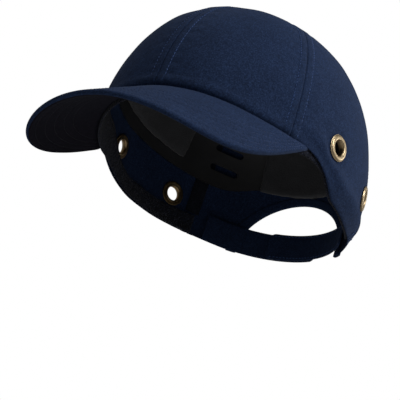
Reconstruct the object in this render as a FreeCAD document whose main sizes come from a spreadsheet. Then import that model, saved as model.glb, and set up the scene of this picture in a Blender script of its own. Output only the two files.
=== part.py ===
import FreeCAD, Part
import math
import os

import Sketcher
from FreeCAD import Placement, Rotation, Vector

# Bump cap: a six-panel cotton cap sewn over a moulded impact shell lined with foam pads.
# Units are millimetres and degrees. +Z is up, the brim points to -Y and +X is the wearer's left.
# The origin is the centre of the head opening, on the level of the rim at the back.
# Angles round the crown are counted from +X, so -90 is the front and 90 is the back.

DIMENSIONS = [
    # alias, value, what it is
    ("crown_half_width", 97.0, "crown, centre to side"),
    ("crown_half_front", 114.2, "crown, centre to front"),
    ("crown_half_rear", 117.6, "crown, centre to back"),
    ("crown_height", 131.2, "crown, rim level to top"),
    ("wall_height", 22.0, "height where the wall starts to lean in"),
    ("crown_power", 0.757, "squareness of the dome, 1 is an ellipsoid"),
    ("fabric", 1.3, "panel cloth with its lining"),
    ("panel_gap", 0.12, "half the gap between panels, degrees"),
    ("seam_side_front", -30.8, "angle of the seam between front and side panel"),
    ("seam_side_rear", 38.5, "angle of the seam between side and rear panel"),
    ("crown_eye", 6.0, "radius of the hole where the panels' points meet"),
    ("tuck_height", 10.0, "height below which the hem turns in"),
    ("tuck_depth", 3.1, "how far the hem turns in at rim level"),
    ("rim_side", -4.0, "height of the rim over the ears"),
    ("tape_width", 12.0, "seam tape width"),
    ("tape_thickness", 0.5, "seam tape thickness"),
    ("tape_depth", 1.6, "seam tape, depth below the cloth's face"),
    ("tape_top", 15.0, "distance from the axis where the tapes stop"),
    ("tape_start", 3.0, "tape, height above the hem"),
    ("brim_root_reach", 112.6, "brim root, distance in front of the centre"),
    ("brim_root_height", 18.0, "brim root height"),
    ("brim_tilt", 34.7, "slope of the brim"),
    ("brim_bend_radius", 110.0, "brim, radius of its arch"),
    ("brim_bend_half", 55.0, "brim, half angle of its arch, flat flanks beyond"),
    ("brim_length", 73.8, "brim, root to tip"),
    ("brim_half_width", 105.3, "brim, half width along the arch"),
    ("brim_heel", 60.0, "brim, how far its ends lie behind the root"),
    ("brim_square_side", 0.796, "brim outline, squareness across"),
    ("brim_square_tip", 0.47, "brim outline, squareness along"),
    ("brim_board", 2.2, "brim board thickness"),
    ("brim_cloth", 0.85, "brim cover thickness"),
    ("brim_glue", 0.05, "gap between brim layers"),
    ("brim_seam_gap", 0.3, "gap between brim and crown"),
    ("band_depth", 2.4, "sweatband, depth of its outer face"),
    ("band_thickness", 2.4, "sweatband thickness"),
    ("band_height", 16.0, "sweatband height at the sides"),
    ("band_brow", 11.0, "extra sweatband height at the brow"),
    ("band_overlap", 6.0, "how far the sweatband reaches below the crown's edge at the brow"),
    ("band_end", 40.0, "angle where the sweatband stops beside the rear opening"),
    ("shell_depth", 2.6, "impact shell, depth of its outer face"),
    ("shell_thickness", 2.2, "impact shell thickness"),
    ("shell_edge", 46.0, "impact shell, height of its lower edge"),
    ("shell_edge_rear", 57.0, "the same above the rear opening"),
    ("shell_eye", 10.0, "hole at the top of the shell"),
    ("vent_length", 24.0, "shell vent length"),
    ("vent_width", 5.0, "shell vent width"),
    ("pad_depth", 5.2, "foam pads, depth of their outer face"),
    ("pad_thickness", 5.0, "foam pad thickness"),
    ("pad_low", 17.0, "foam pads, angle up the dome of the lower edge"),
    ("pad_high", 50.0, "foam pads, angle up the dome of the upper edge"),
    ("top_pad_reach", 44.0, "top pad radius"),
    ("arch_radius", 46.0, "rear opening radius"),
    ("arch_spring", 4.0, "height where the rear opening starts to curve"),
    ("binding_width", 6.0, "binding round the rear opening"),
    ("binding_wall", 0.9, "binding thickness"),
    ("eyelet_bore", 5.7, "eyelet hole radius"),
    ("eyelet_wall", 0.6, "eyelet barrel wall"),
    ("eyelet_flange", 9.8, "eyelet flange radius"),
    ("eyelet_dome", 1.5, "eyelet height above the cloth"),
    ("eyelet_barrel", 3.1, "eyelet depth below the cloth's face"),
    ("eyelet_flare", 7.4, "radius of the rolled end of the barrel"),
    ("eyelet_roll", 0.4, "thickness of the rolled end"),
    ("washer_thickness", 0.8, "eyelet washer thickness"),
    ("washer_clearance", 0.05, "washer to barrel"),
    ("eyelet_front_angle", -7.3, "front eyelet, angle round the crown"),
    ("eyelet_front_height", 28.1, "front eyelet height"),
    ("eyelet_rear_angle", 27.2, "rear eyelet, angle round the crown"),
    ("eyelet_rear_height", 24.7, "rear eyelet height"),
    ("button_radius", 8.5, "top button radius"),
    ("button_height", 4.0, "top button height"),
    ("button_cloth", 0.7, "top button cover thickness"),
    ("button_clearance", 0.1, "top button, cover to core and to cap"),
    ("button_stem", 1.6, "top button stem radius"),
    ("button_washer", 9.0, "top button washer radius"),
    ("strap_centre", 37.6, "centre of the strap's arc, behind the origin"),
    ("strap_radius", 77.3, "outer face of the hook strap"),
    ("strap_thickness", 1.3, "strap thickness"),
    ("strap_width", 22.0, "strap width"),
    ("strap_base", -1.0, "height of the strap's lower edge"),
    ("patch_width", 18.0, "hook and loop patch width"),
    ("patch_thickness", 0.55, "hook and loop patch thickness"),
    ("patch_glue", 0.05, "gap between strap and patch"),
    ("patch_play", 0.35, "gap between the hooks and the loops"),
]

doc = FreeCAD.newDocument("bump_cap")
sheet = doc.addObject("Spreadsheet::Sheet", "dims")
for row, (alias, value, note) in enumerate(DIMENSIONS, 1):
    sheet.set(f"A{row}", note)
    sheet.set(f"B{row}", str(value))
    sheet.setAlias(f"B{row}", alias)
doc.recompute()
SIZE = {alias: float(getattr(sheet, alias)) for alias, value, note in DIMENSIONS}

nodes = []


# ---------------------------------------------------------------- the crown's surface

def smooth(share):
    """Ease from 0 to 1 with level ends."""
    share = min(max(share, 0.0), 1.0)
    return share * share * (3.0 - 2.0 * share)


def folded(theta):
    """Angle folded onto the wearer's left: -90 front, 0 side, 90 back."""
    turn = math.radians(theta)
    return math.degrees(math.atan2(math.sin(turn), abs(math.cos(turn))))


def tuck_share(theta, height):
    """Share of the half width by which the hem turns in, none beside the rear opening."""
    fade = 1.0 - smooth((folded(theta) - 30.0) / 30.0)
    drop = max(SIZE["tuck_height"] - height, 0.0) / SIZE["tuck_height"]
    return SIZE["tuck_depth"] / SIZE["crown_half_width"] * drop * drop * fade


def crown_point(theta, station, depth=0.0):
    """Point on the crown, depth inside the cloth's face.

    A negative station is millimetres below the top of the wall, a positive one degrees up the dome.
    """
    turn = math.radians(theta)
    length_key = "crown_half_front" if math.sin(turn) < 0 else "crown_half_rear"
    across = SIZE["crown_half_width"] * math.cos(turn)
    along = SIZE[length_key] * math.sin(turn)
    climb = math.radians(max(station, 0.0))
    dome = SIZE["crown_height"] - depth - SIZE["wall_height"]
    height = SIZE["wall_height"] + dome * math.sin(climb) + min(station, 0.0)
    reach = math.cos(climb) ** SIZE["crown_power"] * (1.0 - tuck_share(theta, height))
    reach *= 1.0 - depth / math.hypot(across, along)
    return Vector(across * reach, along * reach, height)


def station_at_height(height):
    above = height - SIZE["wall_height"]
    if above < 0:
        return above
    return math.degrees(math.asin(above / (SIZE["crown_height"] - SIZE["wall_height"])))


def station_at_reach(reach):
    """Station where the crown's half width has shrunk to reach."""
    share = reach / SIZE["crown_half_width"]
    return math.degrees(math.acos(share ** (1.0 / SIZE["crown_power"])))


def crown_normal(theta, station):
    """Outward normal of the crown."""
    step = 0.5
    across = crown_point(theta + step, station) - crown_point(theta - step, station)
    upward = crown_point(theta, station + step) - crown_point(theta, station - step)
    return across.cross(upward).normalize()


def brim_axes():
    """Root point, forward direction along the brim and the normal at its middle."""
    tilt = math.radians(SIZE["brim_tilt"])
    root = Vector(0, -SIZE["brim_root_reach"], SIZE["brim_root_height"])
    forward = Vector(0, -math.cos(tilt), -math.sin(tilt))
    normal = Vector(0, -math.sin(tilt), math.cos(tilt))
    return root, forward, normal


def height_over_brim(point):
    """Distance of a point above the brim's middle surface, an arch with flat flanks."""
    root, forward, normal = brim_axes()
    radius = SIZE["brim_bend_radius"]
    half = math.radians(SIZE["brim_bend_half"])
    across = abs(point.x)
    above = (point - root).dot(normal)
    if across < radius * math.sin(half):
        return math.hypot(across, above + radius) - radius
    beyond = across - radius * math.sin(half)
    above += radius * (1.0 - math.cos(half))
    return beyond * math.sin(half) + above * math.cos(half)


def brim_root_height(theta):
    """Height where the brim's middle surface meets the crown."""
    low, high = -20.0, 35.0
    for _ in range(40):
        middle = (low + high) / 2.0
        if height_over_brim(crown_point(theta, station_at_height(middle))) > 0:
            high = middle
        else:
            low = middle
    return low


def brim_half_thickness():
    return SIZE["brim_board"] / 2.0 + SIZE["brim_glue"] + SIZE["brim_cloth"]


BRIM_END = -22.0       # angle where the brim's outline reaches the crown
RIM_LOW_START = 5.0    # the rim is lowest from here ...
RIM_LOW_END = 18.0     # ... to here
RIM_REAR = 50.0        # and back at level 0 from here on


def rim_height(theta):
    """Lower edge of the cloth: on the brim in front, dipping over the ears, level behind."""
    angle = folded(theta)
    over_brim = brim_half_thickness() + SIZE["brim_seam_gap"]
    if angle < BRIM_END:
        return brim_root_height(theta) + over_brim
    side = SIZE["rim_side"]
    if angle < RIM_LOW_START:
        end = brim_root_height(BRIM_END) + over_brim
        return end + (side - end) * smooth((angle - BRIM_END) / (RIM_LOW_START - BRIM_END))
    return side * (1.0 - smooth((angle - RIM_LOW_END) / (RIM_REAR - RIM_LOW_END)))


# ---------------------------------------------------------------- building blocks

def spread(first, last, count):
    return [first + (last - first) * i / (count - 1) for i in range(count)]


def stations(low, high):
    """Stations of one section: a few on the wall, if it starts there, and the rest on the dome."""
    if low < 0:
        return spread(low, low / 3.0, 3) + spread(0.0, high, 8)
    return spread(low, high, 9)


def spline(points):
    curve = Part.BSplineCurve()
    curve.interpolate(points)
    return curve.toShape()


def section(theta, outer_depth, inner_depth, low, high):
    """Closed wire in the upright plane at theta, between two depths."""
    outer = [crown_point(theta, s, outer_depth) for s in stations(low, high)]
    inner = [crown_point(theta, s, inner_depth) for s in stations(low, high)]
    edges = [
        spline(outer),
        Part.makeLine(outer[-1], inner[-1]),
        spline(inner[::-1]),
        Part.makeLine(inner[0], outer[0]),
    ]
    return Part.Wire(edges)


def layer(angles, outer_depth, inner_depth, low_edge, high_edge):
    """Solid that follows the crown between two depths and two edges given as heights or stations."""
    wires = [section(a, outer_depth, inner_depth, low_edge(a), high_edge(a)) for a in angles]
    return Part.makeLoft(wires, True, False)


def feature(label, shape, placement=None):
    """Document object for a shape made with Part's functions."""
    obj = doc.addObject("Part::Feature", label)
    obj.Label = label
    obj.Shape = shape
    obj.Placement = placement or Placement()
    return obj


def boolean(kind, label, base, tool):
    obj = doc.addObject(f"Part::{kind}", label)
    obj.Label = label
    obj.Base = base
    obj.Tool = tool
    return obj


def bind(obj, **expressions):
    """Set each property from the sheet."""
    for name, expression in expressions.items():
        obj.setExpression(name.replace("__", "."), expression)


def primitive(kind, label, placement, **expressions):
    obj = doc.addObject(f"Part::{kind}", label)
    obj.Label = label
    obj.Placement = placement
    bind(obj, **expressions)
    return obj


def node(obj):
    """Keep an object as one of the cap's pieces."""
    nodes.append(obj)
    return obj


def sum_of(*names):
    """Value and expression of a signed sum of sheet cells, such as ("eyelet_bore", "-fabric")."""
    value = 0.0
    expression = ""
    for name in names:
        sign = -1.0 if name.startswith("-") else 1.0
        value += sign * SIZE[name.lstrip("-")]
        expression += (" - " if sign < 0 else " + ") + "dims." + name.lstrip("-")
    return value, "0 mm / 1 mm" + expression


def turned_body(label, placement, profile):
    """PartDesign body: a profile of (radius, height) sums revolved about its own Z axis."""
    body = doc.addObject("PartDesign::Body", label)
    body.Label = label
    sketch = body.newObject("Sketcher::SketchObject", f"{label}_profile")
    plane = [f for f in body.Origin.OriginFeatures if f.Role == "XZ_Plane"][0]
    sketch.AttachmentSupport = [(plane, "")]
    sketch.MapMode = "FlatFace"
    corners = [(sum_of(*radius), sum_of(*height)) for radius, height in profile]
    count = len(corners)
    for i in range(count):
        start = Vector(corners[i][0][0], corners[i][1][0], 0)
        end = Vector(corners[(i + 1) % count][0][0], corners[(i + 1) % count][1][0], 0)
        sketch.addGeometry(Part.LineSegment(start, end), False)
    for i in range(count):
        sketch.addConstraint(Sketcher.Constraint("Coincident", i, 2, (i + 1) % count, 1))
    for i in range(count):
        for axis, (value, expression) in zip(("DistanceX", "DistanceY"), corners[i]):
            index = sketch.addConstraint(Sketcher.Constraint(axis, -1, 1, i, 1, value))
            sketch.setExpression(f"Constraints[{index}]", expression)
    turn = body.newObject("PartDesign::Revolution", f"{label}_turn")
    turn.Profile = sketch
    turn.ReferenceAxis = (sketch, ["V_Axis"])
    turn.Angle = 360.0
    body.Tip = turn
    body.Placement = placement
    return node(body)


# ---------------------------------------------------------------- crown panels

# Each panel and the angles of its two seams, on the wearer's left.
LEFT_PANELS = {
    "front_panel": (-90.0, SIZE["seam_side_front"]),
    "side_panel": (SIZE["seam_side_front"], SIZE["seam_side_rear"]),
    "rear_panel": (SIZE["seam_side_rear"], 90.0),
}
SIDES = ("left", "right")


def mirrored(theta):
    return 180.0 - theta


def on_side(side, theta):
    return theta if side == "left" else mirrored(theta)


def rim_station(theta):
    return station_at_height(rim_height(theta))


def eye_station(theta):
    return station_at_reach(SIZE["crown_eye"])


def panel_cloth(side, first, last):
    count = 8
    angles = spread(first + SIZE["panel_gap"], last - SIZE["panel_gap"], count)
    return layer([on_side(side, a) for a in angles], 0.0, SIZE["fabric"], rim_station, eye_station)


def eyelet_placement(side, position):
    """Placement on the cloth's face with Z along the outward normal."""
    theta = on_side(side, SIZE[f"eyelet_{position}_angle"])
    station = station_at_height(SIZE[f"eyelet_{position}_height"])
    normal = crown_normal(theta, station)
    if normal.dot(crown_point(theta, station)) < 0:
        normal = normal * -1.0
    return Placement(crown_point(theta, station), Rotation(Vector(0, 0, 1), normal))


HOLE_PLAY = 0.1     # cloth to eyelet barrel
HOLE_REACH = 6.0    # the punch passes this far through the cloth on each side


def punch_eyelets(cloth, side):
    for position in ("front", "rear"):
        radius = SIZE["eyelet_bore"] + SIZE["eyelet_wall"] + HOLE_PLAY
        punch = Part.makeCylinder(radius, 2 * HOLE_REACH, Vector(0, 0, -HOLE_REACH))
        punch.Placement = eyelet_placement(side, position)
        cloth = cloth.cut(punch)
    return cloth


ARCH_FROM = 60.0    # the arch tools reach from this far behind the centre ...
ARCH_DEPTH = 80.0   # ... over this length
ARCH_FOOT = 20.0    # and this far below the rim


def arch_tool(label, grow):
    """Round-topped prism along Y through the back of the crown, grown by a sheet expression."""
    turn = Rotation(Vector(1, 0, 0), -90)
    top = primitive("Cylinder", f"{label}_top", Placement(Vector(0, ARCH_FROM, 0), turn),
                    Radius=f"dims.arch_radius{grow}",
                    Placement__Base__z="dims.arch_spring")
    top.Height = ARCH_DEPTH
    legs = primitive("Box", f"{label}_legs", Placement(Vector(0, ARCH_FROM, -ARCH_FOOT), Rotation()),
                     Length=f"2 * (dims.arch_radius{grow})",
                     Height=f"dims.arch_spring + {ARCH_FOOT}",
                     Placement__Base__x=f"-(dims.arch_radius{grow})")
    legs.Width = ARCH_DEPTH
    return boolean("Fuse", label, top, legs)


arch = arch_tool("arch", "")
rear_panels = []
for side in SIDES:
    for name, (first, last) in LEFT_PANELS.items():
        cloth = panel_cloth(side, first, last)
        if name == "side_panel":
            cloth = punch_eyelets(cloth, side)
        if name == "rear_panel":
            blank = feature(f"{name}_{side}_cloth", cloth)
            panel = boolean("Cut", f"{name}_{side}", blank, arch)
            rear_panels.append(panel)
            node(panel)
        else:
            node(feature(f"{name}_{side}", cloth))


# ---------------------------------------------------------------- seam tapes

def tape(theta, low, high):
    """Strip of constant width under a seam, from one station to another."""
    wires = []
    for station in spread(low, high, 10):
        side_step = crown_point(theta + 0.5, station) - crown_point(theta - 0.5, station)
        half = side_step.normalize() * (SIZE["tape_width"] / 2.0)
        outer = crown_point(theta, station, SIZE["tape_depth"])
        inner = crown_point(theta, station, SIZE["tape_depth"] + SIZE["tape_thickness"])
        corners = [outer - half, outer + half, inner + half, inner - half]
        wires.append(Part.makePolygon(corners + corners[:1]))
    return Part.makeLoft(wires, True, False)


tape_top = station_at_reach(SIZE["tape_top"])
arch_top = SIZE["arch_spring"] + SIZE["arch_radius"] + SIZE["binding_width"]
TAPED_SEAMS = {
    "seam_tape_front": -90.0,
    "seam_tape_front_left": SIZE["seam_side_front"],
    "seam_tape_front_right": mirrored(SIZE["seam_side_front"]),
    "seam_tape_rear_left": SIZE["seam_side_rear"],
    "seam_tape_rear_right": mirrored(SIZE["seam_side_rear"]),
    "seam_tape_rear": 90.0,
}
for label, theta in TAPED_SEAMS.items():
    start = arch_top if label == "seam_tape_rear" else rim_height(theta) + SIZE["band_height"]
    start += SIZE["tape_start"]
    if label.startswith("seam_tape_front"):
        start += SIZE["band_brow"]
    node(feature(label, tape(theta, station_at_height(start), tape_top)))


# ---------------------------------------------------------------- brim

def brim_placement():
    """Local X across, local Y forward along the brim, local Z down through it."""
    root, forward, normal = brim_axes()
    turn = Rotation(Vector(1, 0, 0), forward, normal * -1.0, "XYZ")
    return Placement(root, turn)


def brim_across(along_arch):
    """Straight distance across for a length measured along the arch."""
    radius = SIZE["brim_bend_radius"]
    half = math.radians(SIZE["brim_bend_half"])
    length = abs(along_arch)
    across = radius * math.sin(min(length / radius, half))
    across += max(length - radius * half, 0.0) * math.cos(half)
    return math.copysign(across, along_arch)


def brim_outline():
    """Flat outline seen along the normal: a squared-off half oval, open towards the crown."""
    points = []
    for angle in spread(-90.0, 90.0, 25):
        turn = math.radians(angle)
        share = math.copysign(abs(math.sin(turn)) ** SIZE["brim_square_side"], turn)
        forward = max(math.cos(turn), 0.0) ** SIZE["brim_square_tip"]
        reach = (SIZE["brim_length"] + SIZE["brim_heel"]) * forward - SIZE["brim_heel"]
        points.append(Vector(brim_across(SIZE["brim_half_width"] * share), reach, 0))
    return Part.Wire([spline(points), Part.makeLine(points[-1], points[0])])


FLANK = 90.0         # the arched sheets are cut from flanks this long
SHEET_BACK = 120.0   # they start this far behind the root
SHEET_LENGTH = 260.0


def arch_points(offset):
    """Ends of the flanks and of the arch, and its top, for the brim's middle line moved by offset."""
    radius = SIZE["brim_bend_radius"] + offset
    half = math.radians(SIZE["brim_bend_half"])
    centre = Vector(0, 0, SIZE["brim_bend_radius"])
    right = centre + Vector(radius * math.sin(half), 0, -radius * math.cos(half))
    foot = right + Vector(math.cos(half), 0, math.sin(half)) * FLANK
    top = centre - Vector(0, 0, radius)
    return Vector(-foot.x, 0, foot.z), Vector(-right.x, 0, right.z), top, right, foot


def arched_sheet(upper, lower):
    """Solid between two offsets of the arch, long enough to cut the brim from."""
    above = arch_points(upper)
    below = arch_points(lower)
    outline = Part.Wire([
        Part.makeLine(above[0], above[1]),
        Part.Arc(above[1], above[2], above[3]).toShape(),
        Part.makeLine(above[3], above[4]),
        Part.makeLine(above[4], below[4]),
        Part.makeLine(below[4], below[3]),
        Part.Arc(below[3], below[2], below[1]).toShape(),
        Part.makeLine(below[1], below[0]),
        Part.makeLine(below[0], above[0]),
    ])
    face = Part.Face(outline)
    face.translate(Vector(0, -SHEET_BACK, 0))
    return face.extrude(Vector(0, SHEET_LENGTH, 0))


outline = feature("brim_outline", brim_outline(), brim_placement())
brim_blank = doc.addObject("Part::Extrusion", "brim_blank")
brim_blank.Base = outline
brim_blank.DirMode = "Normal"
brim_blank.Solid = True
brim_blank.LengthFwd = 90.0
brim_blank.LengthRev = 90.0

HEAD_FOOT = -40.0   # the head form used to trim the brim starts well below the rim


def head_form():
    """Solid inside the crown's face plus the brim's seam gap, as tall as the brim's root needs."""
    wires = []
    for height in spread(HEAD_FOOT, 60.0, 6):
        ring = []
        for angle in spread(0.0, 360.0, 49)[:-1]:
            station = min(station_at_height(height), station_at_height(60.0))
            ring.append(crown_point(angle, max(station, 0.0), -SIZE["brim_seam_gap"]))
        for point in ring:
            point.z = height
        curve = Part.BSplineCurve()
        curve.interpolate(ring, PeriodicFlag=True)
        wires.append(Part.Wire([curve.toShape()]))
    return Part.makeLoft(wires, True, False)


head = feature("head_form", head_form())
board_face = SIZE["brim_board"] / 2.0
cover_face = board_face + SIZE["brim_glue"]
BRIM_LAYERS = {
    "brim_top_cover": (cover_face + SIZE["brim_cloth"], cover_face),
    "brim_board": (board_face, -board_face),
    "brim_bottom_cover": (-cover_face, -cover_face - SIZE["brim_cloth"]),
}
for label, (upper, lower) in BRIM_LAYERS.items():
    arched = feature(f"{label}_arched", arched_sheet(upper, lower), brim_placement())
    sheet_piece = boolean("Common", f"{label}_sheet", brim_blank, arched)
    node(boolean("Cut", label, sheet_piece, head))


# ---------------------------------------------------------------- sweatband

def brow_weight(theta):
    """1 over the brow, 0 from the sides backwards."""
    return smooth((-folded(theta) - 8.0) / 16.0)


def band_low(theta):
    return rim_height(theta) + 0.5 - SIZE["band_overlap"] * brow_weight(theta)


def band_low_station(theta):
    return station_at_height(band_low(theta))


def band_high(theta):
    return band_low(theta) + SIZE["band_height"] + SIZE["band_brow"] * brow_weight(theta)


def band_section(theta):
    """Closed wire of the band's height in the upright plane at theta."""
    levels = [station_at_height(h) for h in spread(band_low(theta), band_high(theta), 4)]
    inner_depth = SIZE["band_depth"] + SIZE["band_thickness"]
    outer = [crown_point(theta, s, SIZE["band_depth"]) for s in levels]
    inner = [crown_point(theta, s, inner_depth) for s in levels]
    return Part.Wire([
        spline(outer),
        Part.makeLine(outer[-1], inner[-1]),
        spline(inner[::-1]),
        Part.makeLine(inner[0], outer[0]),
    ])


band_angles = spread(SIZE["band_end"], -180.0 - SIZE["band_end"], 33)
node(feature("sweatband", Part.makeLoft([band_section(a) for a in band_angles], True, False)))


# ---------------------------------------------------------------- impact shell

def shell_low(theta):
    """Lower edge of the shell, higher above the rear opening and a little over the brow."""
    rear = smooth((folded(theta) - 45.0) / 25.0)
    height = SIZE["shell_edge"] + (SIZE["shell_edge_rear"] - SIZE["shell_edge"]) * rear
    return station_at_height(height + 2.0 * brow_weight(theta))


def shell_eye(theta):
    return station_at_reach(SIZE["shell_eye"])


def ring_layer(outer_depth, inner_depth, low_edge, high_edge):
    """Layer all the way round, made as two halves that meet at the front and the back."""
    left = layer(spread(-90.0, 90.0, 15), outer_depth, inner_depth, low_edge, high_edge)
    right = layer(spread(90.0, 270.0, 15), outer_depth, inner_depth, low_edge, high_edge)
    return left.fuse(right).removeSplitter()


def vent(theta, station, upright):
    """Round-ended slot cutter through the shell."""
    half = (SIZE["vent_length"] - SIZE["vent_width"]) / 2.0
    radius = SIZE["vent_width"] / 2.0
    reach = 14.0
    bar = Part.makeBox(2 * half, 2 * radius, reach, Vector(-half, -radius, -reach / 2))
    ends = [Part.makeCylinder(radius, reach, Vector(x, 0, -reach / 2)) for x in (-half, half)]
    slot = bar.fuse(ends)
    normal = crown_normal(theta, station)
    level = Vector(0, 0, 1).cross(normal).normalize()
    long_way = level.cross(normal) if upright else level
    centre = crown_point(theta, station, SIZE["shell_depth"] + SIZE["shell_thickness"] / 2)
    slot.Placement = Placement(centre, Rotation(long_way, Vector(), normal, "ZXY"))
    return slot


VENT_COLUMNS = (-47.0, 46.0, 134.0, 227.0)
VENT_ROWS = (21.0, 30.0, 39.0, 48.0)
TOP_VENTS = 8
TOP_VENT_STATION = 60.0


def shell_vents():
    cutters = [vent(theta, row, False) for theta in VENT_COLUMNS for row in VENT_ROWS]
    for i in range(TOP_VENTS):
        cutters.append(vent(22.5 + 360.0 / TOP_VENTS * i, TOP_VENT_STATION, True))
    return Part.makeCompound(cutters)


shell_inner = SIZE["shell_depth"] + SIZE["shell_thickness"]
shell_blank = feature("shell_blank", ring_layer(SIZE["shell_depth"], shell_inner, shell_low, shell_eye))
vents = feature("shell_vents", shell_vents())
node(boolean("Cut", "impact_shell", shell_blank, vents))


# ---------------------------------------------------------------- foam pads

pad_inner = SIZE["pad_depth"] + SIZE["pad_thickness"]


def pad_low(theta):
    return SIZE["pad_low"]


def pad_high(theta):
    return SIZE["pad_high"]


PADS = {
    "foam_pad_front": (-90.0, 26.0),
    "foam_pad_left": (0.0, 25.0),
    "foam_pad_rear": (90.0, 24.0),
    "foam_pad_right": (180.0, 25.0),
}
for label, (middle, half) in PADS.items():
    angles = spread(middle - half, middle + half, 6)
    node(feature(label, layer(angles, SIZE["pad_depth"], pad_inner, pad_low, pad_high)))


def top_pad_low(theta):
    return station_at_reach(SIZE["top_pad_reach"])


node(feature("foam_pad_top", ring_layer(SIZE["pad_depth"], pad_inner, top_pad_low, shell_eye)))


# ---------------------------------------------------------------- rear opening binding

def binding_low(theta):
    return station_at_height(0.0)


def binding_high(theta):
    return station_at_height(arch_top + 4.0)


binding_cloth = feature("binding_cloth", layer(
    spread(50.0, 130.0, 13), -SIZE["binding_wall"], SIZE["fabric"] + SIZE["binding_wall"],
    binding_low, binding_high))
border = boolean("Cut", "binding_border", arch_tool("binding_outside", " + dims.binding_width"),
                 arch_tool("binding_inside", " - dims.binding_wall"))
binding_blank = boolean("Common", "binding_blank", binding_cloth, border)
rear_cloth = boolean("Fuse", "rear_cloth", rear_panels[0], rear_panels[1])
node(boolean("Cut", "rear_binding", binding_blank, rear_cloth))


# ---------------------------------------------------------------- eyelets

EYELET_PROFILE = [
    (("eyelet_bore",), ("eyelet_dome",)),
    (("eyelet_flare",), ("eyelet_dome",)),
    (("eyelet_flange", "-eyelet_wall"), ("washer_thickness",)),
    (("eyelet_flange",), ("washer_clearance", "eyelet_roll")),
    (("eyelet_flange",), ("washer_clearance",)),
    (("eyelet_bore", "eyelet_wall"), ("washer_clearance",)),
    (("eyelet_bore", "eyelet_wall"), ("-eyelet_barrel", "eyelet_roll")),
    (("eyelet_flare",), ("-eyelet_barrel", "eyelet_roll")),
    (("eyelet_flare",), ("-eyelet_barrel",)),
    (("eyelet_bore",), ("-eyelet_barrel",)),
]
WASHER_LOW = ("-eyelet_barrel", "eyelet_roll", "washer_clearance")
WASHER_PROFILE = [
    (("eyelet_bore", "eyelet_wall", "washer_clearance"), WASHER_LOW),
    (("eyelet_flange",), WASHER_LOW),
    (("eyelet_flange",), WASHER_LOW + ("washer_thickness",)),
    (("eyelet_bore", "eyelet_wall", "washer_clearance"), WASHER_LOW + ("washer_thickness",)),
]
for side in SIDES:
    for position in ("front", "rear"):
        seat = eyelet_placement(side, position)
        turned_body(f"eyelet_{side}_{position}", seat, EYELET_PROFILE)
        turned_body(f"eyelet_washer_{side}_{position}", seat, WASHER_PROFILE)


# ---------------------------------------------------------------- top button

button_seat = Placement(Vector(0, 0, SIZE["crown_height"]), Rotation())
CORE_EDGE = ("button_radius", "-button_cloth", "-button_clearance")
turned_body("top_button_cover", button_seat, [
    ((), ("button_height",)),
    (("crown_eye",), ("button_height", "-button_cloth")),
    (("button_radius",), ("button_cloth", "button_cloth")),
    (("button_radius",), ("button_clearance",)),
    (("button_radius", "-button_cloth"), ("button_clearance",)),
    (("button_radius", "-button_cloth"), ("button_cloth",)),
    (("crown_eye",), ("button_height", "-button_cloth", "-button_cloth")),
    ((), ("button_height", "-button_cloth")),
])
turned_body("top_button_core", button_seat, [
    ((), ("button_cloth", "button_cloth")),
    (("crown_eye",), ("button_cloth", "button_cloth")),
    (CORE_EDGE, ("button_cloth",)),
    (CORE_EDGE, ("button_clearance",)),
    (("button_stem",), ("button_clearance",)),
    (("button_stem",), ("-fabric", "-washer_thickness", "-button_clearance")),
    ((), ("-fabric", "-washer_thickness", "-button_clearance")),
])
turned_body("top_button_washer", button_seat, [
    (("button_stem", "washer_clearance"), ("-fabric", "-button_clearance")),
    (("button_washer",), ("-fabric", "-button_clearance")),
    (("button_washer",), ("-fabric", "-button_clearance", "-washer_thickness")),
    (("button_stem", "washer_clearance"), ("-fabric", "-button_clearance", "-washer_thickness")),
])


# ---------------------------------------------------------------- rear strap

def arc_strip(label, outer, inner, width, base, start, end):
    """Upright strip bent round the strap's centre, from one angle off the back to another."""
    seat = Placement(Vector(0, SIZE["strap_centre"], 0), Rotation(Vector(0, 0, 1), 90.0 + start))
    parts = []
    for name, radius in (("outside", outer), ("inside", inner)):
        parts.append(primitive("Cylinder", f"{label}_{name}", seat, Radius=radius, Height=width,
                               Placement__Base__z=base, Placement__Base__y="dims.strap_centre"))
        parts[-1].Angle = end - start
    return node(boolean("Cut", label, *parts))


# Arc angles from the back, positive towards the wearer's right.
BASE_ARC = (31.3, 56.0)
HOOK_ARC = (-18.0, 30.9)
HOOK_PATCH_ARC = (-16.0, 12.0)
LOOP_ARC = (-56.0, 16.0)
LOOP_PATCH_ARC = (-26.0, 14.0)

STRAP_LEVEL = "dims.strap_base"
PATCH_LEVEL = "dims.strap_base + (dims.strap_width - dims.patch_width) / 2"
HOOK_IN = "dims.strap_radius - dims.strap_thickness"
HOOK_PATCH_OUT = f"{HOOK_IN} - dims.patch_glue"
HOOK_PATCH_IN = f"{HOOK_PATCH_OUT} - dims.patch_thickness"
LOOP_PATCH_OUT = f"{HOOK_PATCH_IN} - dims.patch_play"
LOOP_PATCH_IN = f"{LOOP_PATCH_OUT} - dims.patch_thickness"
LOOP_OUT = f"{LOOP_PATCH_IN} - dims.patch_glue"
LOOP_IN = f"{LOOP_OUT} - dims.strap_thickness"

arc_strip("strap_base", "dims.strap_radius", HOOK_IN, "dims.strap_width", STRAP_LEVEL, *BASE_ARC)
arc_strip("hook_strap", "dims.strap_radius", HOOK_IN, "dims.strap_width", STRAP_LEVEL, *HOOK_ARC)
arc_strip("hook_patch", HOOK_PATCH_OUT, HOOK_PATCH_IN, "dims.patch_width", PATCH_LEVEL, *HOOK_PATCH_ARC)
arc_strip("loop_strap", LOOP_OUT, LOOP_IN, "dims.strap_width", STRAP_LEVEL, *LOOP_ARC)
arc_strip("loop_patch", LOOP_PATCH_OUT, LOOP_PATCH_IN, "dims.patch_width", PATCH_LEVEL, *LOOP_PATCH_ARC)


# ---------------------------------------------------------------- check and write

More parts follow.
